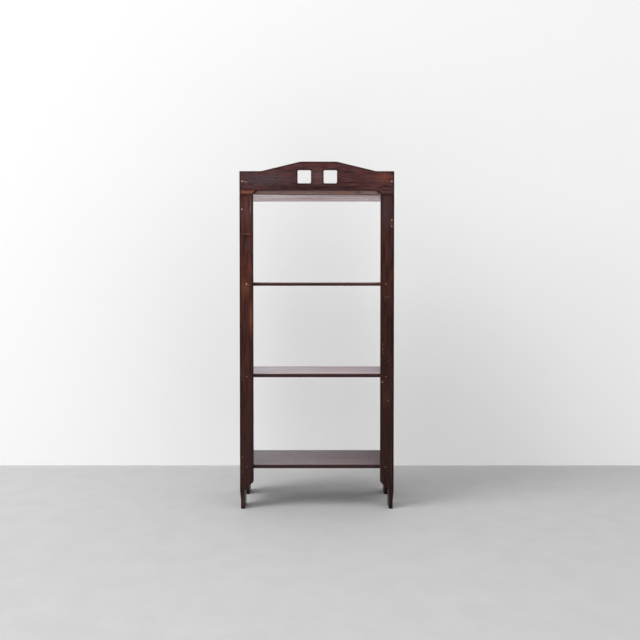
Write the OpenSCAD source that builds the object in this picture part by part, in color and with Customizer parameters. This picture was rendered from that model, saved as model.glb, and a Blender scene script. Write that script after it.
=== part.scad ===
// Tall open bookcase of stained and varnished softwood: two side panels with feet,
// four shelves, two front stiles and a shaped, pierced crest, all nailed together.
// Millimetres. X runs to the right, Y to the back and Z up. The origin is the middle of
// the space that the bookcase fills, at floor level.

/* [Carcass] */
// Width over the front stiles
overall_width = 666; // [600:1:1000]
// Depth of a side panel, behind the stile
side_depth = 283; // [250:1:380]
// Thickness of a side panel
side_thickness = 17; // [14:0.5:24]
// Thickness of the front stiles and of the crest
front_thickness = 17; // [13:0.5:24]

/* [Stiles] */
// Width of a front stile
stile_width = 59; // [48:1:80]
// How far a stile's outer edge stands past its side panel
stile_overhang = 4; // [2:0.5:8]

/* [Shelves] */
// Thickness of the three lower shelves
shelf_thickness = 16; // [12:0.5:24]
// Thickness of the top shelf, which ties the sides together
top_shelf_thickness = 19; // [14:0.5:28]
// Height of the bottom shelf's underside above the floor
floor_clearance = 172; // [150:1:260]
// Clear height of the lower bay
lower_bay = 381; // [220:1:480]
// Clear height of the middle bay
middle_bay = 381; // [220:1:480]
// Clear height of the upper bay
upper_bay = 378; // [220:1:480]
// Depth to which a shelf end is let into a side panel
housing_depth = 5; // [3:0.5:8]
// Clearance of a shelf in its housing, above it and at its end
housing_clearance = 0.2; // [0.1:0.05:0.3]

/* [Feet] */
// Depth of a foot seen from the side, with the stile in front of it
foot_depth = 79; // [60:1:95]
// Height of a foot below its slanted shoulder
foot_height = 79; // [50:1:100]
// Height of the slanted shoulder above a foot
shoulder_height = 39; // [25:1:50]
// Height at which a stile's outer edge starts to taper in
taper_top = 80; // [60:1:120]
// Height at which the taper ends, flush with the side panel
taper_bottom = 35; // [15:1:50]

/* [Crest] */
// How far the crest's lower edge laps the front of the top shelf
crest_lap = 2; // [1:0.5:8]
// Height of the crest's ends above its lower edge
crest_end_height = 82; // [70:1:110]
// Height of the crest's middle above its lower edge
crest_middle_height = 123; // [115:1:170]
// Length of the level stretch at the crest's left end
left_flat = 93; // [70:1:110]
// Length of the level stretch at the crest's right end
right_flat = 78; // [60:1:100]
// Length of the left slope, measured level
left_slope = 169; // [130:1:185]
// Length of the right slope, measured level
right_slope = 170; // [130:1:185]
// Radius that softens the corners of the crest's top outline
crest_softening = 70; // [20:1:120]
// How far the lobes over the stiles drop below the crest's lower edge
lobe_drop = 18; // [12:1:26]
// How far the bevel on a lobe leans back at its lower edge
lobe_bevel = 6; // [3:0.5:9]
// Width of a square piercing in the crest
piercing_width = 57; // [40:1:72]
// Height of a square piercing in the crest
piercing_height = 57; // [40:1:66]
// Wood left between the two piercings
piercing_gap = 55; // [30:1:80]
// Height of the piercings above the crest's lower edge
piercing_rise = 30; // [20:1:40]
// How far the pair of piercings sits to the right of the middle
piercing_shift = 2; // [-10:1:10]
// Corner radius of a piercing
piercing_corner = 5; // [2:0.5:12]

/* [Nails] */
// Diameter of a nail head
nail_head = 6; // [4:0.5:8]
// How far a domed nail head stands out of the wood
nail_head_rise = 1.2; // [0.8:0.1:1.8]
// Diameter of a nail shank
nail_shank = 2.5; // [1.8:0.1:3]
// Length of a nail below its head, point included
nail_length = 40; // [32:1:48]
// Clearance around a nail shank
nail_clearance = 0.05; // [0.02:0.01:0.1]
// Distance of the nails into the side panels' front edges from the outer edge
edge_nail_inset = 11; // [8:0.5:14]
// Height of the crest nails above the crest's lower edge
crest_nail_rise = 38; // [20:1:60]
// Distance of the left stile's upper nail below the stile's top
left_nail_drop = 64; // [40:1:110]
// Distance of the right stile's upper nail below the stile's top
right_nail_drop = 109; // [40:1:110]
// Distance of the right stile's second nail below its upper nail
right_nail_step = 28; // [15:1:60]
// Distance of the left stile's lower nail above the bottom shelf's underside
lower_nail_above = 52; // [30:1:90]
// Distance of the left stile's lowest nail below the bottom shelf's underside
lower_nail_below = 12; // [6:1:20]
// Distance of the left shelf nails from the stile's outer edge
left_shelf_nail_inset = 30; // [27:0.5:40]
// Distance of the right shelf nails from the stile's outer edge
right_shelf_nail_inset = 35; // [27:0.5:40]
// Height of the bottom shelf's front nails above the middle of its edge
bottom_nail_lift = 2; // [0:0.5:4]
// Depth of the third shelf's front nails below the middle of its edge
third_nail_drop = 3; // [0:0.5:4]
// Distance of the outermost side nails from a side panel's front and back edges
side_nail_inset = 50; // [45:1:80]
// Nails through a side panel into each shelf end
side_nail_count = 3; // [2:1:5]

/* [Hidden] */
$fn = 96;

// Cutting tools run this far past the wood, so that no skin is left
past = 1;
// Flat steps in each softened corner of the crest
arc_steps = 8;

wall_brown = "#5a3a35";
stile_brown = "#4c322e";
crest_brown = "#54403f";
shelf_brown = "#6a4a44";
nail_grey = "#c9c2ba";

// Heights of the shelves' undersides from the floor
bottom_shelf_z = floor_clearance;
third_shelf_z = bottom_shelf_z + shelf_thickness + lower_bay;
second_shelf_z = third_shelf_z + shelf_thickness + middle_bay;
top_shelf_z = second_shelf_z + shelf_thickness + upper_bay;
// Underside and thickness of each shelf
shelf_boards = [
    [bottom_shelf_z, shelf_thickness], [third_shelf_z, shelf_thickness],
    [second_shelf_z, shelf_thickness], [top_shelf_z, top_shelf_thickness]
];

crest_z = top_shelf_z + top_shelf_thickness - crest_lap;
stile_top = crest_z - lobe_drop;
side_height = crest_z + crest_end_height;

// Depths: the nail heads in front count in the middle of the whole
front_y = -(front_thickness + side_depth - nail_head_rise) / 2;
panel_y = front_y + front_thickness;
back_y = panel_y + side_depth;

// Widths: the outer and inner faces of the side panels, from the middle
stile_outer_x = overall_width / 2;
stile_inner_x = stile_outer_x - stile_width;
panel_outer_x = stile_outer_x - stile_overhang;
panel_inner_x = panel_outer_x - side_thickness;
shelf_end_x = panel_inner_x + housing_depth;
edge_nail_x = stile_outer_x - edge_nail_inset;

// Stands an outline drawn in X and Z up as a board with its back at the given depth
module front_board(back) {
    translate([0, back, 0])
        rotate([90, 0, 0])
            linear_extrude(front_thickness)
                children();
}

// A nail along +Z: the underside of its head is at the origin and its point is below
module nail() {
    dome_radius = (pow(nail_head / 2, 2) + pow(nail_head_rise, 2)) / (2 * nail_head_rise);
    point = 2 * nail_shank;
    intersection() {
        translate([0, 0, nail_head_rise - dome_radius])
            sphere(dome_radius);
        cylinder(h = nail_head_rise + past, d = nail_head + past);
    }
    translate([0, 0, point - nail_length])
        cylinder(h = nail_length - point, d = nail_shank);
    translate([0, 0, -nail_length])
        cylinder(h = point, d1 = nail_shank / 5, d2 = nail_shank);
}

// The hole that a nail along +Z sits in
module nail_hole() {
    translate([0, 0, -nail_length - nail_clearance])
        cylinder(h = nail_length + nail_clearance + past, d = nail_shank + 2 * nail_clearance);
}

// Puts its child at each place in the front face, driven from the front
module from_front(places) {
    for (place = places)
        translate([place[0], front_y, place[1]])
            rotate([90, 0, 0])
                children();
}

// Puts its child at each place in the right side panel's outer face, driven from the right
module from_right(places) {
    for (place = places)
        translate([panel_outer_x, place[0], place[1]])
            rotate([0, 90, 0])
                children();
}

crest_nail_places = [for (side = [-1, 1]) [side * edge_nail_x, crest_z + crest_nail_rise]];

left_edge_nail_places = [
    [-edge_nail_x, stile_top - left_nail_drop],
    [-edge_nail_x, floor_clearance + lower_nail_above],
    [-edge_nail_x, floor_clearance - lower_nail_below]
];
right_edge_nail_places = [
    [edge_nail_x, stile_top - right_nail_drop],
    [edge_nail_x, stile_top - right_nail_drop - right_nail_step]
];

left_shelf_nail_x = left_shelf_nail_inset - stile_outer_x;
right_shelf_nail_x = stile_outer_x - right_shelf_nail_inset;
shelf_nail_heights = [
    bottom_shelf_z + shelf_thickness / 2 + bottom_nail_lift,
    third_shelf_z + shelf_thickness / 2 - third_nail_drop,
    second_shelf_z + shelf_thickness / 2
];
left_shelf_nail_places = [for (z = shelf_nail_heights) [left_shelf_nail_x, z]];
right_shelf_nail_places = [for (z = shelf_nail_heights) [right_shelf_nail_x, z]];

side_nail_step = (side_depth - 2 * side_nail_inset) / (side_nail_count - 1);
side_nail_places = [
    for (board = shelf_boards, i = [0 : side_nail_count - 1])
        [panel_y + side_nail_inset + i * side_nail_step, board[0] + board[1] / 2]
];

// The right side panel seen from the side, with its feet
module side_outline() {
    arch_front = front_y + foot_depth;
    arch_back = back_y - foot_depth;
    difference() {
        translate([panel_y, 0])
            square([side_depth, side_height]);
        polygon([
            [arch_front, -past], [arch_front, foot_height],
            [arch_front + shoulder_height, foot_height + shoulder_height],
            [arch_back - shoulder_height, foot_height + shoulder_height],
            [arch_back, foot_height], [arch_back, -past]
        ]);
    }
}

module right_panel_blank() {
    difference() {
        translate([panel_inner_x, 0, 0])
            rotate([90, 0, 90])
                linear_extrude(side_thickness)
                    side_outline();
        for (board = shelf_boards)
            translate([panel_inner_x - past, panel_y - past, board[0]])
                cube([
                    housing_depth + housing_clearance + past,
                    side_depth + 2 * past,
                    board[1] + housing_clearance
                ]);
        from_right(side_nail_places)
            nail_hole();
        from_front([crest_nail_places[1]])
            nail_hole();
    }
}

module right_side_panel() {
    color(wall_brown)
        difference() {
            right_panel_blank();
            from_front(right_edge_nail_places)
                nail_hole();
        }
}

module left_side_panel() {
    color(wall_brown)
        difference() {
            mirror([1, 0, 0])
                right_panel_blank();
            from_front(left_edge_nail_places)
                nail_hole();
        }
}

// The right stile seen from the front: a long board that narrows to a foot
module stile_outline() {
    foot_inner_x = panel_inner_x;
    polygon([
        [panel_outer_x, 0], [panel_outer_x, taper_bottom], [stile_outer_x, taper_top],
        [stile_outer_x, stile_top], [stile_inner_x, stile_top],
        [stile_inner_x, foot_height + shoulder_height], [foot_inner_x, foot_height], [foot_inner_x, 0]
    ]);
}

module right_front_stile() {
    color(stile_brown)
        difference() {
            front_board(panel_y)
                stile_outline();
            from_front(concat(right_edge_nail_places, right_shelf_nail_places))
                nail_hole();
        }
}

module left_front_stile() {
    color(stile_brown)
        difference() {
            mirror([1, 0, 0])
                front_board(panel_y)
                    stile_outline();
            from_front(concat(left_edge_nail_places, left_shelf_nail_places))
                nail_hole();
        }
}

// The arc that softens a corner of the crest, where the outline's heading changes
function softened(corner, heading_in, heading_out) =
    let (
        turn = heading_out - heading_in,
        side = sign(turn),
        reach = crest_softening * tan(abs(turn) / 2),
        start = corner - reach * [cos(heading_in), sin(heading_in)],
        centre = start + side * crest_softening * [-sin(heading_in), cos(heading_in)]
    ) [
        for (step = [0 : arc_steps])
            let (heading = heading_in + turn * step / arc_steps)
                centre + side * crest_softening * [sin(heading), -cos(heading)]
    ];

// The crest seen from the front: level ends, slopes to a level middle, and lobes below
module crest_outline() {
    low = crest_z + crest_end_height;
    high = crest_z + crest_middle_height;
    rise = high - low;
    left_end = left_flat - stile_outer_x;
    left_high = left_end + left_slope;
    right_end = stile_outer_x - right_flat;
    right_high = right_end - right_slope;
    climb = atan(rise / left_slope);
    fall = -atan(rise / right_slope);
    lobe_inner_x = stile_inner_x - lobe_drop;
    polygon(concat(
        [[-stile_outer_x, stile_top], [-stile_outer_x, low]],
        softened([left_end, low], 0, climb),
        softened([left_high, high], climb, 0),
        softened([right_high, high], 0, fall),
        softened([right_end, low], fall, 0),
        [[stile_outer_x, low], [stile_outer_x, stile_top], [stile_inner_x, stile_top]],
        [[lobe_inner_x, crest_z], [-lobe_inner_x, crest_z], [-stile_inner_x, stile_top]]
    ));
}

module piercing_outline() {
    inner = [piercing_width - 2 * piercing_corner, piercing_height - 2 * piercing_corner];
    translate([0, piercing_corner])
        square([piercing_width, inner[1]]);
    translate([piercing_corner, 0])
        square([inner[0], piercing_height]);
    for (x = [piercing_corner, piercing_width - piercing_corner])
        for (y = [piercing_corner, piercing_height - piercing_corner])
            translate([x, y])
                circle(piercing_corner);
}

// The wedge that bevels the front of the lobes, from the crest's lower edge to the stiles
module lobe_bevel_wedge() {
    slope = lobe_bevel / lobe_drop;
    rotate([90, 0, 90])
        linear_extrude(overall_width + 2 * past, center = true)
            polygon([
                [front_y, crest_z], [front_y - past, crest_z], [front_y - past, stile_top - past],
                [front_y + lobe_bevel + past * slope, stile_top - past]
            ]);
}

module crest_board() {
    piercing_z = crest_z + piercing_rise;
    left_piercing_x = piercing_shift - piercing_gap / 2 - piercing_width;
    right_piercing_x = piercing_shift + piercing_gap / 2;
    color(crest_brown)
        difference() {
            front_board(panel_y)
                difference() {
                    crest_outline();
                    for (x = [left_piercing_x, right_piercing_x])
                        translate([x, piercing_z])
                            piercing_outline();
                }
            lobe_bevel_wedge();
            from_front(crest_nail_places)
                nail_hole();
        }
}

// A shelf whose ends are let into the side panels, given its underside and thickness
module shelf(board) {
    color(shelf_brown)
        difference() {
            translate([-shelf_end_x, panel_y, board[0]])
                cube([2 * shelf_end_x, side_depth, board[1]]);
            shelf_nail_holes();
        }
}

module shelf_nail_holes() {
    from_front(concat(left_shelf_nail_places, right_shelf_nail_places))
        nail_hole();
    from_right(side_nail_places)
        nail_hole();
    mirror([1, 0, 0])
        from_right(side_nail_places)
            nail_hole();
}

module top_shelf() {
    shelf(shelf_boards[3]);
}

module second_shelf() {
    shelf(shelf_boards[2]);
}

module third_shelf() {
    shelf(shelf_boards[1]);
}

module bottom_shelf() {
    shelf(shelf_boards[0]);
}

module crest_nails() {
    color(nail_grey)
        from_front(crest_nail_places)
            nail();
}

module stile_edge_nails() {
    color(nail_grey)
        from_front(concat(left_edge_nail_places, right_edge_nail_places))
            nail();
}

module shelf_front_nails() {
    color(nail_grey)
        from_front(concat(left_shelf_nail_places, right_shelf_nail_places))
            nail();
}

module right_side_nails() {
    color(nail_grey)
        from_right(side_nail_places)
            nail();
}

module left_side_nails() {
    color(nail_grey)
        mirror([1, 0, 0])
            from_right(side_nail_places)
                nail();
}

left_side_panel();
right_side_panel();
left_front_stile();
right_front_stile();
crest_board();
top_shelf();
second_shelf();
third_shelf();
bottom_shelf();
crest_nails();
stile_edge_nails();
shelf_front_nails();
left_side_nails();
right_side_nails();
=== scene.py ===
"""Dresses a tall open bookcase of stained, varnished pine with a pierced crest, and lights it."""

import math

import bpy
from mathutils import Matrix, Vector, kdtree


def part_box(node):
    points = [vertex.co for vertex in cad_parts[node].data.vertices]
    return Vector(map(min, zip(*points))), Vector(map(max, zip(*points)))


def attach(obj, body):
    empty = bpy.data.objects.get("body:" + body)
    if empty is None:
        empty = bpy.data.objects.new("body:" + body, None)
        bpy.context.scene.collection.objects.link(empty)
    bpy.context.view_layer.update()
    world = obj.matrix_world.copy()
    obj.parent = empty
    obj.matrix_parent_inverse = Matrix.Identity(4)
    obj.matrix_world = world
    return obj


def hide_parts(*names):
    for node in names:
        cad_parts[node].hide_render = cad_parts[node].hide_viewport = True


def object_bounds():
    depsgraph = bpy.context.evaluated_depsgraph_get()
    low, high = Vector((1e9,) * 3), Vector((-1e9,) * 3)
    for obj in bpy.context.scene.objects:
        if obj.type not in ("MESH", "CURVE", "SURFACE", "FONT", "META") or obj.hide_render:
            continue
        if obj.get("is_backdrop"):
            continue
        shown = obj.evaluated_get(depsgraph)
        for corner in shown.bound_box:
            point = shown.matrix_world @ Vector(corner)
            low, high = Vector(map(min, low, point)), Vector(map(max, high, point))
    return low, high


bl_info = {
    "name": "Pierced-crest bookcase",
    "version": (1, 0, 0),
    "blender": (4, 5, 0),
    "location": "3D View > Sidebar > Bookcase",
    "description": "Models the boards of a nailed pine bookcase round its solid frame",
    "category": "Add Mesh",
}

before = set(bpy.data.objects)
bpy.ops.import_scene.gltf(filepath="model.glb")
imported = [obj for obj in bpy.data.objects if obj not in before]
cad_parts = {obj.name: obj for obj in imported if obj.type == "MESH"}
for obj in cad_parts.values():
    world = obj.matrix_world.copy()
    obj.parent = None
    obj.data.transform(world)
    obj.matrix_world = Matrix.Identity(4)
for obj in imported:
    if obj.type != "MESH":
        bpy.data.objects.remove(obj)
CAD_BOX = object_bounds()

PANEL_LOW, PANEL_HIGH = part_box("right_side_panel")
STILE_LOW, STILE_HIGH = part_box("right_front_stile")
CREST_LOW, CREST_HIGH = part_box("crest_board")
SHELVES = ("bottom_shelf", "third_shelf", "second_shelf", "top_shelf")

MM = 0.001
# Places in a mesh that differ by less than this are the same
NEAR = 0.02 * MM
# A face looks along an axis, or an edge runs along it, when this much of its direction does
ALONG = 0.9
X_AXIS, Y_AXIS, Z_AXIS = 0, 1, 2
DOWN = Vector((0, 0, -1))

# The left side comes first; its places are the right one's with x turned round
SIDES = ((-1, "left"), (1, "right"))
# What each board's stain is multiplied by in red, green and blue; the right side's darker tints are
# partly its own tone and partly painted shade, for the light falling off away from the lamps at the
# left
SIDE_TINTS = {-1: (1.0, 0.96, 0.94), 1: (0.86, 0.84, 0.84)}
STILE_TINTS = {-1: (1.25, 0.97, 0.81), 1: (0.83, 0.68, 0.56)}
CREST_TINT = (1.25, 1.3, 1.45)
SHELF_TINT = (1.1, 1.05, 1.05)


def linear(code):
    """An sRGB hex colour as linear red, green and blue."""
    parts = [int(code[i : i + 2], 16) / 255 for i in (1, 3, 5)]
    return tuple(c / 12.92 if c <= 0.04045 else ((c + 0.055) / 1.055) ** 2.4 for c in parts)


def length(name, description, millimetres):
    """A size that a user can change, given in millimetres."""
    return bpy.props.FloatProperty(
        name=name, description=description, default=millimetres * MM, unit="LENGTH", precision=4
    )


def colour(name, description, code):
    """A colour that a user can change."""
    return bpy.props.FloatVectorProperty(
        name=name, description=description, default=linear(code), subtype="COLOR", min=0, max=1
    )


class BookcaseSizes(bpy.types.PropertyGroup):
    """Sizes of the boards that the frame's boxes don't give."""

    arris: length("Arris rounding", "Radius to which hands and planes rounded every edge", 1.3)
    waviness: length("Waviness", "Depth of the hollows that hand planing left", 0.35)
    hollow: length("Hollow size", "Width of a hollow that hand planing left", 90)
    slice: length("Slice", "Longest side of a face on a finished board", 12)
    foot_height: length("Foot height", "Height of a foot below its slanted shoulder", 79)
    shoulder: length("Shoulder", "Height of the slanted shoulder above a foot", 39)
    taper_bottom: length("Taper", "Height at which a stile's outer taper ends", 35)
    foot_depth: length("Foot depth", "Depth of a foot with the stile in front of it", 79)
    crest_edge: length("Crest edge", "Height of the crest's lower edge above the floor", 1377)
    crest_end: length("Crest end", "Height of the crest's ends above its lower edge", 82)
    left_flat: length("Left flat", "Level stretch at the crest's left end", 93)
    left_slope: length("Left slope", "Left slope of the crest, measured level", 169)
    right_flat: length("Right flat", "Level stretch at the crest's right end", 78)
    right_slope: length("Right slope", "Right slope of the crest, measured level", 170)
    softening: length("Softening", "Radius that softens the crest's top corners", 70)
    lobe_bevel: length("Lobe bevel", "How far the bevel on a lobe leans back", 6)
    piercing_width: length("Piercing width", "Width of a square piercing", 57)
    piercing_height: length("Piercing height", "Height of a square piercing", 57)
    piercing_gap: length("Piercing gap", "Wood left between the two piercings", 55)
    piercing_rise: length("Piercing rise", "Height of the piercings above the crest's edge", 30)
    piercing_shift: length("Piercing shift", "How far the piercings sit right of the middle", 2)
    piercing_corner: length("Piercing corner", "Corner radius of a piercing", 5)


class BookcaseColours(bpy.types.PropertyGroup):
    """Colours of the stain, its wear and the studio."""

    stain_dark: colour("Dark stain", "Stain where the grain took it up most", "#2e1a18")
    stain_red: colour("Red stain", "Stain where the grain took it up least", "#55302a")
    haze: colour("Haze", "Greyish bloom in the old varnish", "#54434a")
    bare: colour("Bare wood", "Pine where stain and varnish have worn off", "#a3684f")
    film: colour("Film", "Dusty film on the shelves, seen at a low angle", "#dcc0c8")
    # Besides wax and dirt, this colour paints shade: the stain darkens with it toward the floor,
    # standing in for the dimmer light there
    grime_and_shade: colour("Grime", "Dark wax and dirt toward the floor and in the joints", "#1c1210")
    steel: colour("Steel", "Nail heads where hands keep them bright", "#bf9f96")
    nail_film: colour("Nail film", "Stain and wax over a nail head", "#6f5750")
    wall: colour("Wall", "Matt white wall paint", "#f4f4f4")
    floor: colour("Floor", "Pale grey screed", "#bbbbbb")


def sizes():
    """The sizes that are set in this scene."""
    return bpy.context.scene.bookcase_sizes


def colours():
    """The colours that are set in this scene."""
    return bpy.context.scene.bookcase_colours


def only(piece):
    """Makes a piece the one object that is selected and active."""
    bpy.ops.object.select_all(action="DESELECT")
    piece.select_set(True)
    bpy.context.view_layer.objects.active = piece


def add_board(name, low, high):
    """Adds a block of wood between two corners, with its place kept in its mesh."""
    low, high = Vector(low), Vector(high)
    bpy.ops.object.select_all(action="DESELECT")
    bpy.ops.mesh.primitive_cube_add(size=1, location=(low + high) / 2, scale=high - low)
    board = bpy.context.object
    board.name = name
    board.data.name = name
    bpy.ops.object.transform_apply(location=True, rotation=True, scale=True)
    return board


def open_whole(board):
    """Opens a board for editing with all of it selected."""
    only(board)
    bpy.ops.object.mode_set(mode="EDIT")
    bpy.ops.mesh.select_all(action="SELECT")


def close_edit():
    """Leaves edit mode."""
    bpy.ops.object.mode_set(mode="OBJECT")


def saw(board, axis, places):
    """Runs a straight cut right round a board's faces at each place along an axis."""
    open_whole(board)
    direction = Vector((0, 0, 0))
    direction[axis] = 1
    for place in places:
        bpy.ops.mesh.select_all(action="SELECT")
        bpy.ops.mesh.bisect(plane_co=direction * place, plane_no=direction)
    close_edit()


def choose(board, kind, test):
    """Opens a board for editing with the points, edges or faces selected that pass a test."""
    mesh = board.data
    only(board)
    kinds = ("VERT", "EDGE", "FACE")
    bpy.context.tool_settings.mesh_select_mode = [kind == each for each in kinds]
    for group in (mesh.vertices, mesh.edges, mesh.polygons):
        group.foreach_set("select", [False] * len(group))
    chosen = 0
    if kind == "VERT":
        for vertex in mesh.vertices:
            vertex.select = test(vertex.co, vertex.normal)
            chosen += vertex.select
    elif kind == "EDGE":
        for edge in mesh.edges:
            start, end = (mesh.vertices[i].co for i in edge.vertices)
            edge.select = test((start + end) / 2, (end - start).normalized())
            chosen += edge.select
    else:
        for face in mesh.polygons:
            face.select = test(face.center, face.normal)
            chosen += face.select
    if not chosen:
        raise RuntimeError(f"nothing to shape on {board.name}")
    bpy.ops.object.mode_set(mode="EDIT")


def shift_points(board, test, move):
    """Moves the points of a board that pass a test."""
    choose(board, "VERT", test)
    bpy.ops.transform.translate(value=move)
    close_edit()


def extrude_faces(board, test, move):
    """Draws the faces of a board that pass a test out by a move."""
    choose(board, "FACE", test)
    bpy.ops.mesh.extrude_region_move(TRANSFORM_OT_translate={"value": move})
    close_edit()


def weld(board):
    """Merges points that lie on each other and turns all faces outward."""
    open_whole(board)
    bpy.ops.mesh.remove_doubles(threshold=NEAR)
    bpy.ops.mesh.dissolve_degenerate(threshold=NEAR)
    bpy.ops.mesh.normals_make_consistent(inside=False)
    close_edit()


def clear_cuts(board):
    """Takes out the cuts that lie flat in a face, so that nothing holds a rounding back."""
    open_whole(board)
    bpy.ops.mesh.dissolve_limited(angle_limit=math.radians(0.5))
    close_edit()


def apply_modifier(board, name, kind, **settings):
    """Adds a modifier with its settings and applies it."""
    only(board)
    modifier = board.modifiers.new(name, kind)
    for key, value in settings.items():
        setattr(modifier, key, value)
    bpy.ops.object.modifier_apply(modifier=modifier.name)


def even_places(low, high, step):
    """Places that divide a stretch evenly, none further apart than a step."""
    count = max(1, math.ceil((high - low) / step))
    return [low + (high - low) * i / count for i in range(1, count)]


def mark_arrises(board, arris_points):
    """Stores on each point how near it is to a rounded edge, from 1 on the edge to 0 inside."""
    tree = kdtree.KDTree(len(arris_points))
    for index, point in enumerate(arris_points):
        tree.insert(point, index)
    tree.balance()
    # Dirt and wear reach this far in from an edge
    reach = 9 * MM
    nearness = board.data.attributes.new("arris", "FLOAT", "POINT")
    for vertex in board.data.vertices:
        distance = tree.find(vertex.co)[2]
        nearness.data[vertex.index].value = max(0.0, 1 - distance / reach)


def finish_board(board):
    """Rounds the arrises of a sawn board, slices it finely and gives it a planed waviness."""
    size = sizes()
    # Of two empty slots the bevel puts its own faces in the second, to tell them from the rest
    for _ in range(2):
        board.data.materials.append(None)
    weld(board)
    clear_cuts(board)
    apply_modifier(
        board, "Arrises", "BEVEL",
        width=size.arris, segments=3, limit_method="ANGLE", angle_limit=math.radians(35),
        material=1, use_clamp_overlap=False,
    )
    corners = [vertex.co.copy() for vertex in board.data.vertices]
    # The outermost cuts run this far inside a board
    margin = 4 * MM
    # A cut nearer than this to a corner would leave slivers
    clear = 1.5 * MM
    for axis in (X_AXIS, Y_AXIS, Z_AXIS):
        taken = [corner[axis] for corner in corners]
        low, high = min(taken), max(taken)
        inside = even_places(low + margin, high - margin, size.slice)
        places = (low + margin, *inside, high - margin)
        kept = [at for at in places if min(abs(at - other) for other in taken) > clear]
        saw(board, axis, kept)
    weld(board)
    rounded = [
        board.data.vertices[i].co.copy()
        for face in board.data.polygons
        if face.material_index == 1
        for i in face.vertices
    ]
    for face in board.data.polygons:
        face.material_index = 0
    board.data.materials.clear()
    mark_arrises(board, rounded)
    hollows = bpy.data.textures.new("Planing", "CLOUDS")
    hollows.noise_scale = size.hollow
    hollows.noise_depth = 2
    apply_modifier(
        board, "Planing", "DISPLACE",
        texture=hollows, texture_coords="LOCAL", strength=size.waviness, mid_level=1.0,
    )
    only(board)
    bpy.ops.object.shade_smooth_by_angle(angle=math.radians(40))
    apply_modifier(board, "Faces stay flat", "WEIGHTED_NORMAL", weight=80, keep_sharp=True)


def hand_over(board, node, material):
    """Gives a finished board its material and lets it stand for its node of the frame."""
    board.data.materials.append(material)
    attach(board, "root")
    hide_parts(node)


def add_node(tree, kind, inputs=None, **settings):
    """Adds a shader node with its settings, and sets or links each of its inputs."""
    made = tree.nodes.new(kind)
    for key, value in settings.items():
        setattr(made, key, value)
    for key, value in (inputs or {}).items():
        if isinstance(value, bpy.types.NodeSocket):
            tree.links.new(value, made.inputs[key])
        else:
            made.inputs[key].default_value = value
    return made


def blank_material(name, preview):
    """A material with only its output, shown in a plain colour in the viewport."""
    material = bpy.data.materials.new(name)
    material.use_nodes = True
    material.diffuse_color = (*preview, 1)
    material.node_tree.nodes.clear()
    return material


def grain_noise(tree, place, grain, across, along, offset, **shape):
    """Noise drawn out along the grain; its features are that wide and that long, in metres."""
    scale = [1 / across] * 3
    scale[grain] = 1 / along
    stretched = add_node(
        tree, "ShaderNodeMapping", {"Vector": place, "Location": offset, "Scale": scale}
    )
    noise = add_node(
        tree, "ShaderNodeTexNoise", {"Vector": stretched.outputs["Vector"], "Scale": 1.0, **shape}
    )
    return noise.outputs["Fac"]


def blend_in(tree, under, over, mask, low, high, strength=1.0):
    """One colour laid over another as a mask rises from low to high, up to a strength."""
    share = add_node(
        tree, "ShaderNodeMapRange",
        {"Value": mask, "From Min": low, "From Max": high, "To Max": strength},
        interpolation_type="SMOOTHSTEP",
    )
    mixed = add_node(
        tree, "ShaderNodeMix",
        {"Factor": share.outputs["Result"], "A": under, "B": over},
        data_type="RGBA",
    )
    return mixed.outputs[2]


def lay_mark(tree, under, place, mark, ragged):
    """A spot laid over a colour; a noise frays its edge or breaks it into specks."""
    local = add_node(
        tree, "ShaderNodeMapping",
        {
            "Vector": place, "Location": mark["at"], "Scale": mark["reach"],
            "Rotation": (0, mark["turn"], 0),
        },
        vector_type="TEXTURE",
    )
    if mark["square"]:
        sizes_apart = add_node(
            tree, "ShaderNodeVectorMath", {0: local.outputs["Vector"]}, operation="ABSOLUTE"
        )
        parts = add_node(tree, "ShaderNodeSeparateXYZ", {"Vector": sizes_apart.outputs["Vector"]})
        distance = parts.outputs["X"]
        for axis in ("Y", "Z"):
            further = add_node(
                tree, "ShaderNodeMath", {0: distance, 1: parts.outputs[axis]}, operation="MAXIMUM"
            )
            distance = further.outputs["Value"]
    else:
        length_apart = add_node(
            tree, "ShaderNodeVectorMath", {0: local.outputs["Vector"]}, operation="LENGTH"
        )
        distance = length_apart.outputs["Value"]
    frayed = add_node(
        tree, "ShaderNodeMath", {0: ragged, 1: mark["fray"], 2: distance},
        operation="MULTIPLY_ADD",
    )
    edge = 1 + mark["fray"] * mark["level"]
    return blend_in(
        tree, under, (*linear(mark["shade"]), 1), frayed.outputs["Value"],
        edge, edge - mark["soft"], mark["strength"],
    )


def worn_mark(
    x, z, wide, high, shade, strength, y=None, depth=15, turn=0, square=False,
    soft=0.6, fray=0.9, level=0.5,
):
    """A mark on a board: its middle and reach in millimetres, its colour and its strength.

    Without a place in depth it lies on the front of the stiles and the crest. turn is in
    degrees. soft is the share of its reach over which it fades, and fray how far a noise moves
    that edge in and out; where the noise is at level, the edge lies at the full reach.
    """
    return {
        "at": (x * MM, CREST_LOW.y if y is None else y * MM, z * MM),
        "reach": (wide * MM, depth * MM, high * MM),
        "turn": math.radians(turn), "square": square,
        "shade": shade, "strength": strength,
        "soft": soft, "fray": fray, "level": level,
    }


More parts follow.
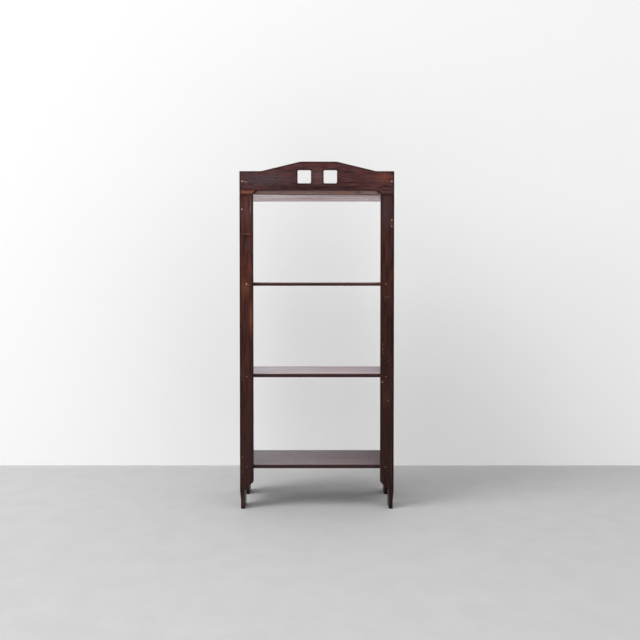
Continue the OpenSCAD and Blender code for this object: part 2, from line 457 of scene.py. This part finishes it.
def varnished_pine(
    name, grain, offset, tint, marks, streak=(10, 110, 0.8), mottle=(45, 160), bloom=0.3,
    gloss=(0.25, 0.38), fade=0.0, shine=0.12, film=0.0, dirt=0.5, relief=0.2,
):
    """Pine stained dark red-brown and shellacked by hand, long since worn.

    The eye gets soft broken streaks where the grain took the stain, a greyish bloom in the
    varnish, dirt along the arrises with reddish wood rubbed bare at a few of them, and an
    uneven gloss that turns bright only where a shelf is seen almost edge-on.

    streak is how wide and long the grain's streaks are, in millimetres, and how wavy; mottle
    how wide and long the clouds of bloom are; gloss the least and most roughness; fade how much
    rougher the right end is; film how much dust lies on it.
    """
    paint = colours()
    material = blank_material(name, paint.stain_red)
    tree = material.node_tree
    place = add_node(tree, "ShaderNodeTexCoord").outputs["Object"]
    grime_and_shade = (*paint.grime_and_shade, 1)

    # Streaks of the grain, and fibres drawn 5 mm wide so that they show at all
    flame = grain_noise(
        tree, place, grain, streak[0] * MM, streak[1] * MM, offset,
        Detail=5.0, Roughness=0.6, Distortion=streak[2],
    )
    fibre = grain_noise(
        tree, place, grain, 5 * MM, 50 * MM, offset, Detail=5.0, Roughness=0.65, Distortion=0.3
    )
    cloud = grain_noise(
        tree, place, grain, mottle[0] * MM, mottle[1] * MM, offset,
        Detail=4.0, Roughness=0.6, Distortion=0.6,
    )
    # Wear frays into specks about 6 mm wide
    speck = add_node(
        tree, "ShaderNodeTexNoise",
        {"Vector": place, "Scale": 1 / (6 * MM), "Detail": 3.0, "Roughness": 0.65},
    ).outputs["Fac"]
    dark = (*(a * b for a, b in zip(paint.stain_dark, tint)), 1)
    red = (*(a * b for a, b in zip(paint.stain_red, tint)), 1)
    stained = blend_in(tree, dark, red, flame, 0.3, 0.7)
    stained = blend_in(tree, stained, (*paint.haze, 1), cloud, 0.4, 0.7, bloom)

    # Toward the floor the stain darkens, partly from wax and dirt and partly as painted shade for
    # the dimmer light low down; dirt also gathers in the fibres and along the rounded edges
    parts = add_node(tree, "ShaderNodeSeparateXYZ", {"Vector": place}).outputs
    stained = blend_in(tree, stained, grime_and_shade, parts["Z"], CREST_HIGH.z, 0.0, 0.7)
    for mark in marks:
        stained = lay_mark(tree, stained, place, mark, speck)
    stained = blend_in(tree, stained, grime_and_shade, fibre, 0.5, 0.75, 0.5)
    nearness = add_node(tree, "ShaderNodeAttribute", attribute_name="arris").outputs["Fac"]
    stained = blend_in(tree, stained, grime_and_shade, nearness, 0.35, 0.8, dirt)

    # The stain is rubbed off the rounded edges here and there
    rub = add_node(tree, "ShaderNodeMath", {0: nearness, 1: speck}, operation="MULTIPLY")
    worn_low, worn_high = 0.52, 0.72
    stained = blend_in(
        tree, stained, (*paint.bare, 1), rub.outputs["Value"], worn_low, worn_high, 0.45
    )

    # The varnish is dulled in streaks, where it is worn, and more toward the right end
    shelf_half = 0.3
    rough = add_node(
        tree, "ShaderNodeMapRange",
        {"Value": flame, "From Min": 0.3, "From Max": 0.7, "To Min": gloss[0], "To Max": gloss[1]},
    )
    dulled = add_node(
        tree, "ShaderNodeMapRange",
        {"Value": parts["X"], "From Min": -shelf_half, "From Max": shelf_half, "To Max": fade},
    )
    matt = add_node(
        tree, "ShaderNodeMapRange",
        {
            "Value": rub.outputs["Value"], "From Min": worn_low, "From Max": worn_high,
            "To Max": 0.25,
        },
    )
    roughness = rough.outputs["Result"]
    for more in (dulled, matt):
        total = add_node(tree, "ShaderNodeMath", {0: roughness, 1: more.outputs["Result"]})
        roughness = total.outputs["Value"]
    grooves = add_node(
        tree, "ShaderNodeBump", {"Height": fibre, "Strength": relief, "Distance": 0.3 * MM}
    )
    shader = add_node(
        tree, "ShaderNodeBsdfPrincipled",
        {
            "Base Color": stained, "Roughness": roughness,
            "Normal": grooves.outputs["Normal"], "Specular IOR Level": shine,
            "Sheen Weight": film, "Sheen Roughness": 0.4, "Sheen Tint": (*paint.film, 1),
        },
    )
    add_node(tree, "ShaderNodeOutputMaterial", {"Surface": shader.outputs["BSDF"]})
    return material


def wire_nail_steel():
    """Drawn steel of nail heads: a dull pinkish shine, since stain and wax film the domes.

    Those near the floor and on the right are browner, because hands rub against them less.
    """
    paint = colours()
    material = blank_material("Wire nail steel", paint.steel)
    tree = material.node_tree
    place = add_node(tree, "ShaderNodeTexCoord").outputs["Object"]
    # Pits and rust specks are about 1 mm
    pits = add_node(
        tree, "ShaderNodeTexNoise",
        {"Vector": place, "Scale": 1 / (1.2 * MM), "Detail": 3.0, "Roughness": 0.6},
    ).outputs["Fac"]
    parts = add_node(tree, "ShaderNodeSeparateXYZ", {"Vector": place}).outputs
    film = (*paint.nail_film, 1)
    bright_from, filmed_below = 0.95, 0.6
    shade = blend_in(
        tree, (*paint.steel, 1), film, parts["Z"], bright_from, filmed_below, 0.95
    )
    for mark in NAIL_MARKS:
        shade = lay_mark(tree, shade, place, mark, pits)
    shade = blend_in(tree, shade, film, pits, 0.5, 0.75, 0.6)
    shader = add_node(
        tree, "ShaderNodeBsdfPrincipled", {"Base Color": shade, "Metallic": 0.4, "Roughness": 0.45}
    )
    add_node(tree, "ShaderNodeOutputMaterial", {"Surface": shader.outputs["BSDF"]})
    return material


def wall_paint():
    """Matt white wall paint, seen only from the front."""
    paint = colours()
    material = blank_material("Matt wall paint", paint.wall)
    tree = material.node_tree
    matt = add_node(
        tree, "ShaderNodeBsdfDiffuse", {"Color": (*paint.wall, 1), "Roughness": 0.6}
    )
    clear = add_node(tree, "ShaderNodeBsdfTransparent")
    side = add_node(tree, "ShaderNodeNewGeometry")
    sheet = add_node(
        tree, "ShaderNodeMixShader",
        {"Fac": side.outputs["Backfacing"], 1: matt.outputs["BSDF"], 2: clear.outputs["BSDF"]},
    )
    add_node(tree, "ShaderNodeOutputMaterial", {"Surface": sheet.outputs["Shader"]})
    return material


def floor_screed():
    """Pale grey screed, trowelled smooth, with a faint cloudiness about a hand wide."""
    paint = colours()
    material = blank_material("Pale screed", paint.floor)
    tree = material.node_tree
    place = add_node(tree, "ShaderNodeTexCoord").outputs["Object"]
    hand = 110 * MM
    clouds = add_node(
        tree, "ShaderNodeTexNoise",
        {"Vector": place, "Scale": 1 / hand, "Detail": 4.0, "Roughness": 0.6},
    )
    darker = (*(c * 0.9 for c in paint.floor), 1)
    shade = blend_in(tree, (*paint.floor, 1), darker, clouds.outputs["Fac"], 0.1, 0.9, 0.8)
    shader = add_node(
        tree, "ShaderNodeBsdfPrincipled",
        {"Base Color": shade, "Roughness": 0.75, "Specular IOR Level": 0.2},
    )
    add_node(tree, "ShaderNodeOutputMaterial", {"Surface": shader.outputs["BSDF"]})
    return material


class BOOKCASE_OT_side_panels(bpy.types.Operator):
    """Model both side panels with their housings and feet"""

    bl_idname = "bookcase.side_panels"
    bl_label = "Side Panels"

    def execute(self, context):
        for side, name in SIDES:
            self.panel(side, name)
        return {"FINISHED"}

    def panel(self, side, name):
        """One side panel; side is -1 for the left one and 1 for the right one."""
        size = sizes()
        shoulder_z = size.foot_height + size.shoulder
        inner, outer = PANEL_LOW.x * side, PANEL_HIGH.x * side
        board = add_board(
            f"{name}_side_board",
            (min(inner, outer), PANEL_LOW.y, shoulder_z),
            (max(inner, outer), PANEL_HIGH.y, PANEL_HIGH.z),
        )
        arch_front = STILE_LOW.y + size.foot_depth
        arch_back = PANEL_HIGH.y - size.foot_depth
        top_front, top_back = arch_front + size.shoulder, arch_back - size.shoulder
        saw(board, Y_AXIS, [top_front, top_back])
        legs = lambda middle, normal: normal.z < -ALONG and not top_front < middle.y < top_back
        extrude_faces(board, legs, DOWN * size.shoulder)
        foot = lambda place, y: abs(place.z - size.foot_height) < NEAR and abs(place.y - y) < NEAR
        slant = Vector((0, size.shoulder, 0))
        shift_points(board, lambda place, _: foot(place, top_front), -slant)
        shift_points(board, lambda place, _: foot(place, top_back), slant)
        soles = lambda middle, normal: normal.z < -ALONG and middle.z < size.foot_height + NEAR
        extrude_faces(board, soles, DOWN * size.foot_height)
        self.housings(board, side, inner)
        finish_board(board)
        # Painted shade: the rear feet, in shade behind the front feet, are painted almost black
        rear_foot_shade = worn_mark(side * 320, 0, 40, 125, "#0b0706", 0.9, y=111, depth=60, soft=0.4)
        wood = varnished_pine(
            f"Varnished pine, {name} side", Z_AXIS, (side * 3.1, 1.7, 0.4), SIDE_TINTS[side],
            (rear_foot_shade,),
        )
        hand_over(board, f"{name}_side_panel", wood)

    def housings(self, board, side, inner):
        """Cuts the grooves that the shelf ends sit in, right through from front to back."""
        # A groove is as deep as the shelf ends reach
        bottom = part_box("top_shelf")[1].x * side
        depth = bottom - inner
        for node in SHELVES:
            low, high = (corner.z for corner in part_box(node))
            saw(board, Z_AXIS, [low, high])
        saw(board, X_AXIS, [bottom])
        for node in SHELVES:
            low, high = (corner.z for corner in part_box(node))
            band = lambda middle: low < middle.z < high
            groove = lambda middle, normal: band(middle) and abs(middle.x - inner) < NEAR
            extrude_faces(board, groove, Vector((depth, 0, 0)))
            mouth = lambda middle, normal: (
                band(middle)
                and abs(normal.y) > ALONG
                and min(inner, bottom) < middle.x < max(inner, bottom)
            )
            choose(board, "FACE", mouth)
            bpy.ops.mesh.delete(type="FACE")
            close_edit()
        weld(board)


class BOOKCASE_OT_front_stiles(bpy.types.Operator):
    """Model both front stiles with their shouldered, tapering feet"""

    bl_idname = "bookcase.front_stiles"
    bl_label = "Front Stiles"

    def execute(self, context):
        for side, name in SIDES:
            self.stile(side, name)
        return {"FINISHED"}

    def stile(self, side, name):
        """One stile; side is -1 for the left one and 1 for the right one."""
        size = sizes()
        inner, outer = STILE_LOW.x * side, STILE_HIGH.x * side
        shoulder_z = size.foot_height + size.shoulder
        board = add_board(
            f"{name}_stile_board",
            (min(inner, outer), STILE_LOW.y, shoulder_z),
            (max(inner, outer), STILE_HIGH.y, STILE_HIGH.z),
        )
        sole = lambda middle, normal: normal.z < -ALONG
        extrude_faces(board, sole, DOWN * size.shoulder)
        foot_inner = PANEL_LOW.x * side
        corner = lambda place, _: (
            abs(place.z - size.foot_height) < NEAR and abs(place.x - inner) < NEAR
        )
        shift_points(board, corner, Vector((foot_inner - inner, 0, 0)))
        extrude_faces(board, sole, DOWN * (size.foot_height - size.taper_bottom))
        extrude_faces(board, sole, DOWN * size.taper_bottom)
        taper = lambda place, _: place.z < size.taper_bottom + NEAR and abs(place.x - outer) < NEAR
        shift_points(board, taper, Vector((PANEL_HIGH.x * side - outer, 0, 0)))
        finish_board(board)
        wood = varnished_pine(
            f"Varnished pine, {name} stile", Z_AXIS, (side * 1.3, 0.6, side * 0.9),
            STILE_TINTS[side], STILE_MARKS[side], bloom=0.15,
        )
        hand_over(board, f"{name}_front_stile", wood)


# Marks that use has left on the stiles, the left one's first
STILE_MARKS = {
    -1: (
        worn_mark(-300, 1290, 50, 120, "#5e4444", 0.45, soft=1.0),
        worn_mark(-295, 1140, 34, 42, "#4c3a40", 0.4, soft=1.0),
        worn_mark(-300, 260, 60, 300, "#3a2828", 0.35, soft=1.0),
        worn_mark(-302, 1178, 28, 5, "#241212", 0.8, soft=0.8),
        worn_mark(-302, 1190, 24, 3, "#8a6a60", 0.45, soft=0.8),
        worn_mark(-281, 1294, 4, 65, "#2a1f26", 0.55, soft=0.8),
        worn_mark(-285, 1301, 2, 36, "#9a8688", 0.45, fray=2.0),
        worn_mark(-296, 1099, 4, 69, "#332529", 0.45, soft=0.8),
        worn_mark(-287, 1043, 12, 52, "#7a3f30", 0.4, soft=1.0),
        worn_mark(-308, 955, 28, 66, "#704630", 0.5, soft=1.0),
        worn_mark(-300, 966, 24, 15, "#b98c70", 0.35, fray=8, level=0.38, soft=0.5),
        worn_mark(-283, 827, 12, 125, "#7d4a32", 0.5, soft=1.0),
        worn_mark(-319, 581, 7, 43, "#4c3642", 0.5, soft=1.0),
        worn_mark(-317, 37, 14, 39, "#5f4336", 0.4, soft=0.8),
        worn_mark(-326, 80, 6, 7, "#120c0c", 0.6),
    ),
    1: (
        worn_mark(303, 918, 15, 2, "#8d7368", 0.5, soft=0.6),
        worn_mark(298, 1290, 60, 130, "#47363a", 0.65, soft=1.0),
        worn_mark(284, 712, 2, 7, "#8d736c", 0.5, fray=1.5),
        worn_mark(284, 693, 2, 5, "#a58a80", 0.5, fray=1.5),
        worn_mark(285, 676, 2, 4, "#8d736c", 0.5, fray=1.5),
        worn_mark(304, 640, 16, 3, "#6e5650", 0.35, turn=-35, soft=0.8),
        worn_mark(300, 480, 24, 60, "#4a3326", 0.4, soft=1.0, fray=1.4),
        worn_mark(283, 551, 5, 5, "#a57a70", 0.6),
        worn_mark(308, 470, 4, 4, "#a57a70", 0.35),
        worn_mark(322, 192, 3, 164, "#6e4842", 0.3, soft=0.9),
        worn_mark(322, 1238, 13, 34, "#7c463a", 0.45, soft=1.0),
        worn_mark(302, 1121, 9, 69, "#4e323c", 0.45, soft=1.0),
        worn_mark(323, 1013, 6, 34, "#702f20", 0.45, soft=1.0),
        worn_mark(306, 91, 10, 2, "#120c0c", 0.5, soft=0.6),
    ),
}


class BOOKCASE_OT_crest(bpy.types.Operator):
    """Model the shaped and pierced crest"""

    bl_idname = "bookcase.crest"
    bl_label = "Crest"

    def execute(self, context):
        size = sizes()
        end_z = size.crest_edge + size.crest_end
        board = add_board(
            "crest_pierced_board",
            (CREST_LOW.x, CREST_LOW.y, size.crest_edge),
            (CREST_HIGH.x, CREST_HIGH.y, end_z),
        )
        self.top_outline(board, end_z)
        self.lobes(board)
        self.piercings(board)
        weld(board)
        finish_board(board)
        wood = varnished_pine(
            "Varnished pine, crest", X_AXIS, (0.2, 5.3, 1.9), CREST_TINT, CREST_MARKS,
            streak=(9, 70, 0.8), mottle=(16, 34),
        )
        hand_over(board, "crest_board", wood)
        return {"FINISHED"}

    def top_outline(self, board, end_z):
        """Raises the middle between two slopes and softens the four corners."""
        size = sizes()
        left_end = CREST_LOW.x + size.left_flat
        right_end = CREST_HIGH.x - size.right_flat
        left_high, right_high = left_end + size.left_slope, right_end - size.right_slope
        corners = (left_end, left_high, right_high, right_end)
        saw(board, X_AXIS, corners)
        rise = CREST_HIGH.z - end_z
        middle = lambda place, _: (
            abs(place.z - end_z) < NEAR and left_high - NEAR < place.x < right_high + NEAR
        )
        shift_points(board, middle, Vector((0, 0, rise)))
        across = lambda place, direction: (
            abs(direction.y) > ALONG
            and place.z > end_z - NEAR
            and min(abs(place.x - x) for x in corners) < NEAR
        )
        choose(board, "EDGE", across)
        turn = math.atan(rise / size.left_slope)
        bpy.ops.mesh.bevel(offset=size.softening * math.tan(turn / 2), segments=6, affect="EDGES")
        close_edit()
        clear_cuts(board)

    def lobes(self, board):
        """Drops a lobe with a slanted inner end over each stile and bevels its front."""
        size = sizes()
        drop = size.crest_edge - CREST_LOW.z
        inner = STILE_LOW.x - drop
        saw(board, X_AXIS, [-inner, inner])
        ends = lambda middle, normal: normal.z < -ALONG and abs(middle.x) > inner
        extrude_faces(board, ends, DOWN * drop)
        for side in (-1, 1):
            corner = lambda place, _: (
                abs(place.z - CREST_LOW.z) < NEAR and abs(place.x - inner * side) < NEAR
            )
            shift_points(board, corner, Vector((drop * side, 0, 0)))
        front = lambda place, _: (
            abs(place.z - CREST_LOW.z) < NEAR and abs(place.y - CREST_LOW.y) < NEAR
        )
        shift_points(board, front, Vector((0, size.lobe_bevel, 0)))

    def piercings(self, board):
        """Cuts the two square holes and rounds their corners."""
        size = sizes()
        half_gap, middle = size.piercing_gap / 2, size.piercing_shift
        starts = (middle - half_gap - size.piercing_width, middle + half_gap)
        bottom = size.crest_edge + size.piercing_rise
        top = bottom + size.piercing_height
        spans = [(left, left + size.piercing_width) for left in starts]
        sides = [x for span in spans for x in span]
        saw(board, X_AXIS, sides)
        saw(board, Z_AXIS, [bottom, top])
        for left, right in spans:
            hole = lambda centre, normal: (
                abs(normal.y) > ALONG and left < centre.x < right and bottom < centre.z < top
            )
            choose(board, "FACE", hole)
            bpy.ops.mesh.delete(type="FACE")
            bpy.ops.mesh.select_mode(type="EDGE")
            bpy.ops.mesh.select_non_manifold()
            bpy.ops.mesh.bridge_edge_loops()
            close_edit()
        clear_cuts(board)
        across = lambda place, direction: (
            abs(direction.y) > ALONG
            and min(abs(place.x - x) for x in sides) < NEAR
            and min(abs(place.z - bottom), abs(place.z - top)) < NEAR
        )
        choose(board, "EDGE", across)
        bpy.ops.mesh.bevel(offset=size.piercing_corner, segments=4, affect="EDGES")
        close_edit()


# Marks that use has left on the crest, and dark lines of painted shade along the joints round its
# lobes
CREST_MARKS = (
    worn_mark(-231, 1423, 200, 52, "#514349", 0.65, soft=1.0, fray=1.4),
    worn_mark(-25, 1390, 330, 17, "#1e1618", 0.65, soft=1.0),
    worn_mark(4, 1436, 46, 46, "#6a5054", 0.5, soft=1.0),
    worn_mark(-257, 1391, 26, 7, "#1f1516", 0.35, turn=-20, soft=1.0),
    worn_mark(-282, 1400, 22, 6, "#241819", 0.3, turn=30, soft=1.0),
    worn_mark(290, 1432, 52, 34, "#8a4630", 0.4, soft=1.0, fray=1.4),
    worn_mark(294, 1436, 26, 20, "#c08a68", 0.5, fray=8, level=0.34, soft=0.5),
    worn_mark(-310, 1414, 15, 3, "#b98d80", 0.5, turn=20),
    worn_mark(156, 1403, 26, 6, "#8a4a34", 0.35, soft=1.0),
    worn_mark(79, 1393, 39, 9, "#372d31", 0.45, soft=1.0),
    worn_mark(28, 1484, 103, 13, "#6e3834", 0.35, soft=1.0),
    worn_mark(-299, 1366, 34, 11, "#8c5644", 0.8, soft=0.3, fray=0.9, square=True),
    worn_mark(302, 1366, 34, 11, "#54423c", 0.7, soft=0.3, fray=0.6, square=True),
    # Painted shade: dark lines along the top, the slanted inner end and the foot of each lobe,
    # where shade falls in the joints
    worn_mark(-296, 1379, 41, 2, "#120c0c", 0.8, soft=0.5),
    worn_mark(303, 1378, 41, 2, "#120c0c", 0.7, soft=0.5),
    worn_mark(-267, 1370, 15, 3, "#120c0c", 0.85, turn=-45, soft=0.5),
    worn_mark(270, 1369, 15, 3, "#120c0c", 0.8, turn=45, soft=0.5),
    worn_mark(-300, 1359, 39, 2, "#120c0c", 0.7, soft=0.5),
    worn_mark(305, 1360, 39, 2, "#120c0c", 0.7, soft=0.5),
)


class BOOKCASE_OT_shelves(bpy.types.Operator):
    """Model the four shelves"""

    bl_idname = "bookcase.shelves"
    bl_label = "Shelves"

    def execute(self, context):
        for number, node in enumerate(SHELVES):
            low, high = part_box(node)
            board = add_board(f"{node}_board", low, high)
            finish_board(board)
            wood = varnished_pine(
                f"Varnished pine, {node.replace('_', ' ')}", X_AXIS,
                (number * 2.3, number * 0.7, 4.1), SHELF_TINT, SHELF_MARKS[node],
                shine=0.25, dirt=0.1, relief=0.08, **SHELF_LOOKS[node],
            )
            hand_over(board, node, wood)
        return {"FINISHED"}


# The top shelf shows its underside almost edge-on, where only broad streaks can be seen
FINE, BROAD = (9, 320, 0.2), (34, 420, 0.2)
# Each shelf's streaks, its least and most roughness, how much rougher it gets toward its right
# end and how much dust film lies on it
SHELF_LOOKS = {
    "bottom_shelf": {"streak": FINE, "gloss": (0.03, 0.2), "fade": 0.36, "film": 0.38},
    "third_shelf": {"streak": FINE, "gloss": (0.02, 0.12), "fade": 0.2, "film": 0.48},
    "second_shelf": {"streak": FINE, "gloss": (0.03, 0.16), "fade": 0.1, "film": 0.4},
    "top_shelf": {"streak": BROAD, "gloss": (0.01, 0.55), "fade": 0.0, "film": 0.12},
}

# An even coat with a sharp square outline, and one over a whole top or underside
EVEN = {"soft": 0.3, "fray": 0.2, "square": True}
WHOLE = {"y": 10, "depth": 165, **EVEN}
# A dark line along a top, where two planks are glued edge to edge
SEAM = {"depth": 7, "soft": 0.6, "fray": 0.4, "square": True}
# The front edges' place in depth, and the reach of a mark that stays on them
EDGE_Y = PANEL_LOW.y / MM
EDGE = {"y": EDGE_Y, "depth": 3}
# Tones and marks of the shelves' faces and front edges. The front edges' tones are partly painted
# light and shade, pale up high and dark low down since the light falls from above, and the tops
# carry painted reflections, lighter at the left and darker at the right
SHELF_MARKS = {
    "top_shelf": (
        # Partly worn and partly painted light: a pale tone over the whole top front edge, with worn
        # spots after it
        worn_mark(0, 1369, 340, 14, "#a88880", 0.85, **EDGE, **EVEN),
        worn_mark(-170, 1369, 110, 14, "#8a7072", 0.6, **EDGE, soft=1.0),
        worn_mark(90, 1368, 60, 10, "#96644c", 0.5, **EDGE, soft=1.0),
        worn_mark(134, 1369, 22, 9, "#a8684a", 0.6, **EDGE, soft=0.8),
        worn_mark(178, 1369, 24, 12, "#67504a", 0.6, **EDGE, soft=0.8),
        worn_mark(240, 1369, 34, 12, "#b08c7c", 0.6, **EDGE, soft=0.8),
        worn_mark(0, 1360, 340, 2, "#b9777c", 0.85, **WHOLE),
        worn_mark(
            0, 1359, 340, 5, "#281412", 0.9, y=EDGE_Y, depth=40, soft=0.5, fray=0.3, square=True
        ),
    ),
    "second_shelf": (
        # Painted reflection: the second shelf, seen almost exactly edge-on, is painted pale along
        # its front, standing in for the bright wall mirrored there
        worn_mark(
            0, 982, 340, 4, "#c9bcb6", 0.9, y=EDGE_Y, depth=4, soft=0.4, fray=0.3, square=True
        ),
        worn_mark(0, 982, 340, 2, "#8a7880", 0.7, **WHOLE),
    ),
    "third_shelf": (
        # Painted shade: the third shelf's front edge is painted darker, since less light falls on
        # it from above
        worn_mark(0, 577, 340, 12, "#331a18", 0.75, **EDGE, **EVEN),
        worn_mark(0, 585, 340, 2, "#94808a", 0.8, **WHOLE),
        # Painted reflection: the left of this top is lighter, where it mirrors the bright wall, and
        # its right darker, where it mirrors the wall's shade
        worn_mark(-250, 585, 300, 3, "#cabec6", 0.75, y=10, depth=220, soft=1.0, fray=0.3),
        worn_mark(130, 585, 140, 3, "#8a5c66", 0.5, y=10, depth=200, soft=1.0, fray=0.3),
    ),
    "bottom_shelf": (
        # Painted shade: the bottom shelf's front edge is painted darker, since less light falls on
        # it from above
        worn_mark(0, 180, 340, 12, "#33181a", 0.75, **EDGE, **EVEN),
        # Painted reflection: the left of this top is lighter, where it mirrors the bright wall
        worn_mark(-240, 188, 300, 3, "#75636b", 0.7, y=10, depth=220, soft=1.0, fray=0.3),
        worn_mark(0, 188, 340, 2, "#665058", 0.4, **WHOLE),
        # Painted reflection: the right of this top is darker, where it mirrors the wall's shade
        worn_mark(160, 188, 200, 3, "#4a2c30", 0.5, y=10, depth=200, soft=1.0, fray=0.3),
        worn_mark(-30, 188, 300, 3, "#1c1012", 0.6, y=104, **SEAM),
        worn_mark(40, 188, 260, 3, "#1c1012", 0.6, y=-13, **SEAM),
    ),
}


# Stain and wax that film some of the nails
NAIL_MARKS = (
    worn_mark(310, 1000, 90, 290, "#7a625c", 0.85, depth=60, soft=0.2, fray=0.2, square=True),
    worn_mark(-310, 100, 60, 140, "#4c3a36", 0.8, depth=60, soft=0.2, fray=0.2, square=True),
)


class BOOKCASE_OT_nails(bpy.types.Operator):
    """Finish the nails of the frame in worn steel"""

    bl_idname = "bookcase.nails"
    bl_label = "Nails"

    def execute(self, context):
        steel = wire_nail_steel()
        for name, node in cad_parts.items():
            if name.endswith("_nails"):
                node.data.materials.clear()
                node.data.materials.append(steel)
        return {"FINISHED"}


class BOOKCASE_OT_stage(bpy.types.Operator):
    """Set up the floor, wall, lamps and camera"""

    bl_idname = "bookcase.stage"
    bl_label = "Studio"

    def execute(self, context):
        self.ground()
        self.lamps()
        self.world(context.scene)
        self.camera(context.scene)
        context.scene.view_settings.view_transform = "Standard"
        return {"FINISHED"}

    def ground(self):
        """A wide floor and a wall behind the bookcase that is clear from its back."""
        span, wall_y = 24, 0.61
        bpy.ops.object.select_all(action="DESELECT")
        bpy.ops.mesh.primitive_plane_add(size=span, location=(0, 0, 0))
        floor = bpy.context.object
        floor.name = "studio_floor"
        floor.data.materials.append(floor_screed())
        bpy.ops.object.select_all(action="DESELECT")
        bpy.ops.mesh.primitive_plane_add(
            size=span, location=(0, wall_y, span / 2), rotation=(math.pi / 2, 0, 0)
        )
        wall = bpy.context.object
        wall.name = "studio_wall"
        wall.data.materials.append(wall_paint())
        for sheet in (floor, wall):
            sheet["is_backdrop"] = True

    def lamps(self):
        """Two window-like lamps far out at the left; the room itself gives the rest."""
        aim = Vector((0.0, 0.4, 0.8))
        lamps = (("Window", (-9.0, -3.2, 4.1), 260), ("Skylight", (-6.0, -3.2, 7.85), 372))
        for name, place, watts in lamps:
            lamp = bpy.data.lights.new(name, "AREA")
            lamp.size = 4.5
            lamp.energy = watts
            stand = bpy.data.objects.new(name, lamp)
            stand.location = place
            stand.rotation_euler = (aim - Vector(place)).to_track_quat("-Z", "Y").to_euler()
            bpy.context.scene.collection.objects.link(stand)

    def world(self, scene):
        """An even room light; past the stage the camera sees a pale room, and a gloss a dim one."""
        room_light, pale_room, dim_room = ((level, level, level, 1) for level in (1.02, 0.85, 0.25))
        world = bpy.data.worlds.new("Studio room")
        world.use_nodes = True
        tree = world.node_tree
        tree.nodes.clear()
        path = add_node(tree, "ShaderNodeLightPath")
        seen = add_node(
            tree, "ShaderNodeMath",
            {0: path.outputs["Is Camera Ray"], 1: path.outputs["Is Transmission Ray"]},
            operation="MAXIMUM",
        )
        backdrop = add_node(
            tree, "ShaderNodeMix",
            {"Factor": seen.outputs["Value"], "A": room_light, "B": pale_room},
            data_type="RGBA",
        )
        # The room that the front faces, and so what a gloss picks up there, is dimmer
        shade = add_node(
            tree, "ShaderNodeMix",
            {"Factor": path.outputs["Is Glossy Ray"], "A": backdrop.outputs[2], "B": dim_room},
            data_type="RGBA",
        )
        light = add_node(tree, "ShaderNodeBackground", {"Color": shade.outputs[2], "Strength": 1.0})
        add_node(tree, "ShaderNodeOutputWorld", {"Surface": light.outputs["Background"]})
        scene.world = world

    def camera(self, scene):
        """The photograph's view: a little above the middle, straight on, tipped down slightly."""
        distance, eye_height = 3.2, 0.985
        # In pixels of the square picture: its side, the lens, the optical middle and the horizon
        image, focal_px, principal_x, horizon_y = 640, 743, 316.85, 281.5
        tip = math.radians(1.2)
        lens = bpy.data.cameras.new("View")
        lens.sensor_width = 36
        lens.lens = lens.sensor_width * focal_px / image
        lens.shift_x = (image / 2 - principal_x) / image
        lens.shift_y = -(image / 2 - horizon_y - focal_px * math.tan(tip)) / image
        view = bpy.data.objects.new("View", lens)
        view.location = (0, STILE_LOW.y - distance, eye_height)
        view.rotation_euler = (math.pi / 2 - tip, 0, 0)
        scene.collection.objects.link(view)
        scene.camera = view


class BOOKCASE_PT_panel(bpy.types.Panel):
    """Lists the steps and sizes in the sidebar of the 3D view"""

    bl_idname = "BOOKCASE_PT_panel"
    bl_label = "Bookcase"
    bl_space_type = "VIEW_3D"
    bl_region_type = "UI"
    bl_category = "Bookcase"

    def draw(self, context):
        column = self.layout.column()
        for step in STEPS:
            column.operator(step.bl_idname)
        for group in (context.scene.bookcase_sizes, context.scene.bookcase_colours):
            for name in group.__annotations__:
                column.prop(group, name)


STEPS = (
    BOOKCASE_OT_side_panels,
    BOOKCASE_OT_front_stiles,
    BOOKCASE_OT_crest,
    BOOKCASE_OT_shelves,
    BOOKCASE_OT_nails,
    BOOKCASE_OT_stage,
)
CLASSES = (BookcaseSizes, BookcaseColours, *STEPS, BOOKCASE_PT_panel)


def register():
    """Adds the classes and the scene's own sizes and colours."""
    for made in CLASSES:
        bpy.utils.register_class(made)
    bpy.types.Scene.bookcase_sizes = bpy.props.PointerProperty(type=BookcaseSizes)
    bpy.types.Scene.bookcase_colours = bpy.props.PointerProperty(type=BookcaseColours)


def unregister():
    """Takes them away again."""
    del bpy.types.Scene.bookcase_colours
    del bpy.types.Scene.bookcase_sizes
    for made in reversed(CLASSES):
        bpy.utils.unregister_class(made)


def main():
    """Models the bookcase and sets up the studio."""
    register()
    bpy.ops.bookcase.side_panels()
    bpy.ops.bookcase.front_stiles()
    bpy.ops.bookcase.crest()
    bpy.ops.bookcase.shelves()
    bpy.ops.bookcase.nails()
    bpy.ops.bookcase.stage()
    record = {
        "cad": [list(corner) for corner in CAD_BOX],
        "visual": [list(corner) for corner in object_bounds()],
    }


if __name__ == "__main__":
    main()
